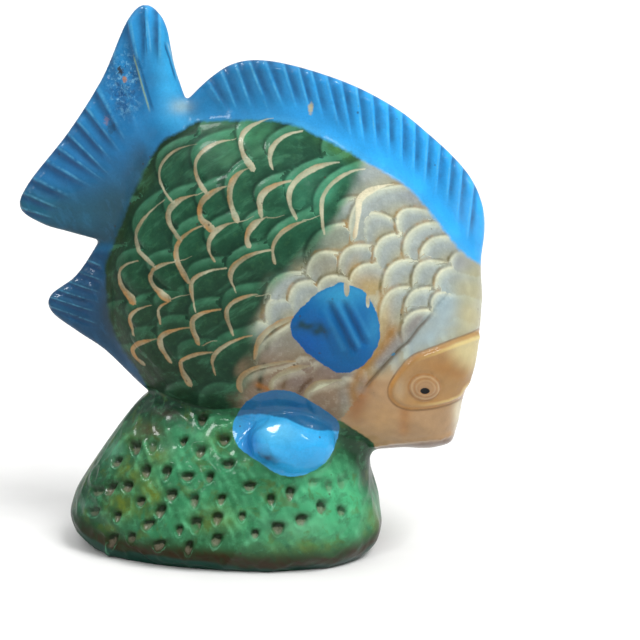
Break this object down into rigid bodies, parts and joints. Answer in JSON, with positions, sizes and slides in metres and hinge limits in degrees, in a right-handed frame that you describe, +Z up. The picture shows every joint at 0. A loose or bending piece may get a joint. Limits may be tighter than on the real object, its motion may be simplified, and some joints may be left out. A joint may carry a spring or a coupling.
{
  "type": "fish ornament",
  "caption": "Glossy painted earthenware fish ornament, nose down, cast in one with a dimpled rock base, that stands on its flat underside as decoration.",
  "frame": {"origin": "middle of the bounding box at the level of the flat underside, on the surface the ornament stands on", "axes": "+Z up; +X the way the fish faces; -Y out of the side that the picture shows"},
  "size_m": [0.1508, 0.0662, 0.1775],
  "materials": {
    "painted_earthenware": "hand-painted fired clay under a glossy lacquer: blue fins, green and cream scales with pale brushed crescents, tan head, green rock with bare clay in its pits"
  },
  "bodies": {
    "root": {"fish_on_rock_base": "painted_earthenware"}
  },
  "joints": []
}
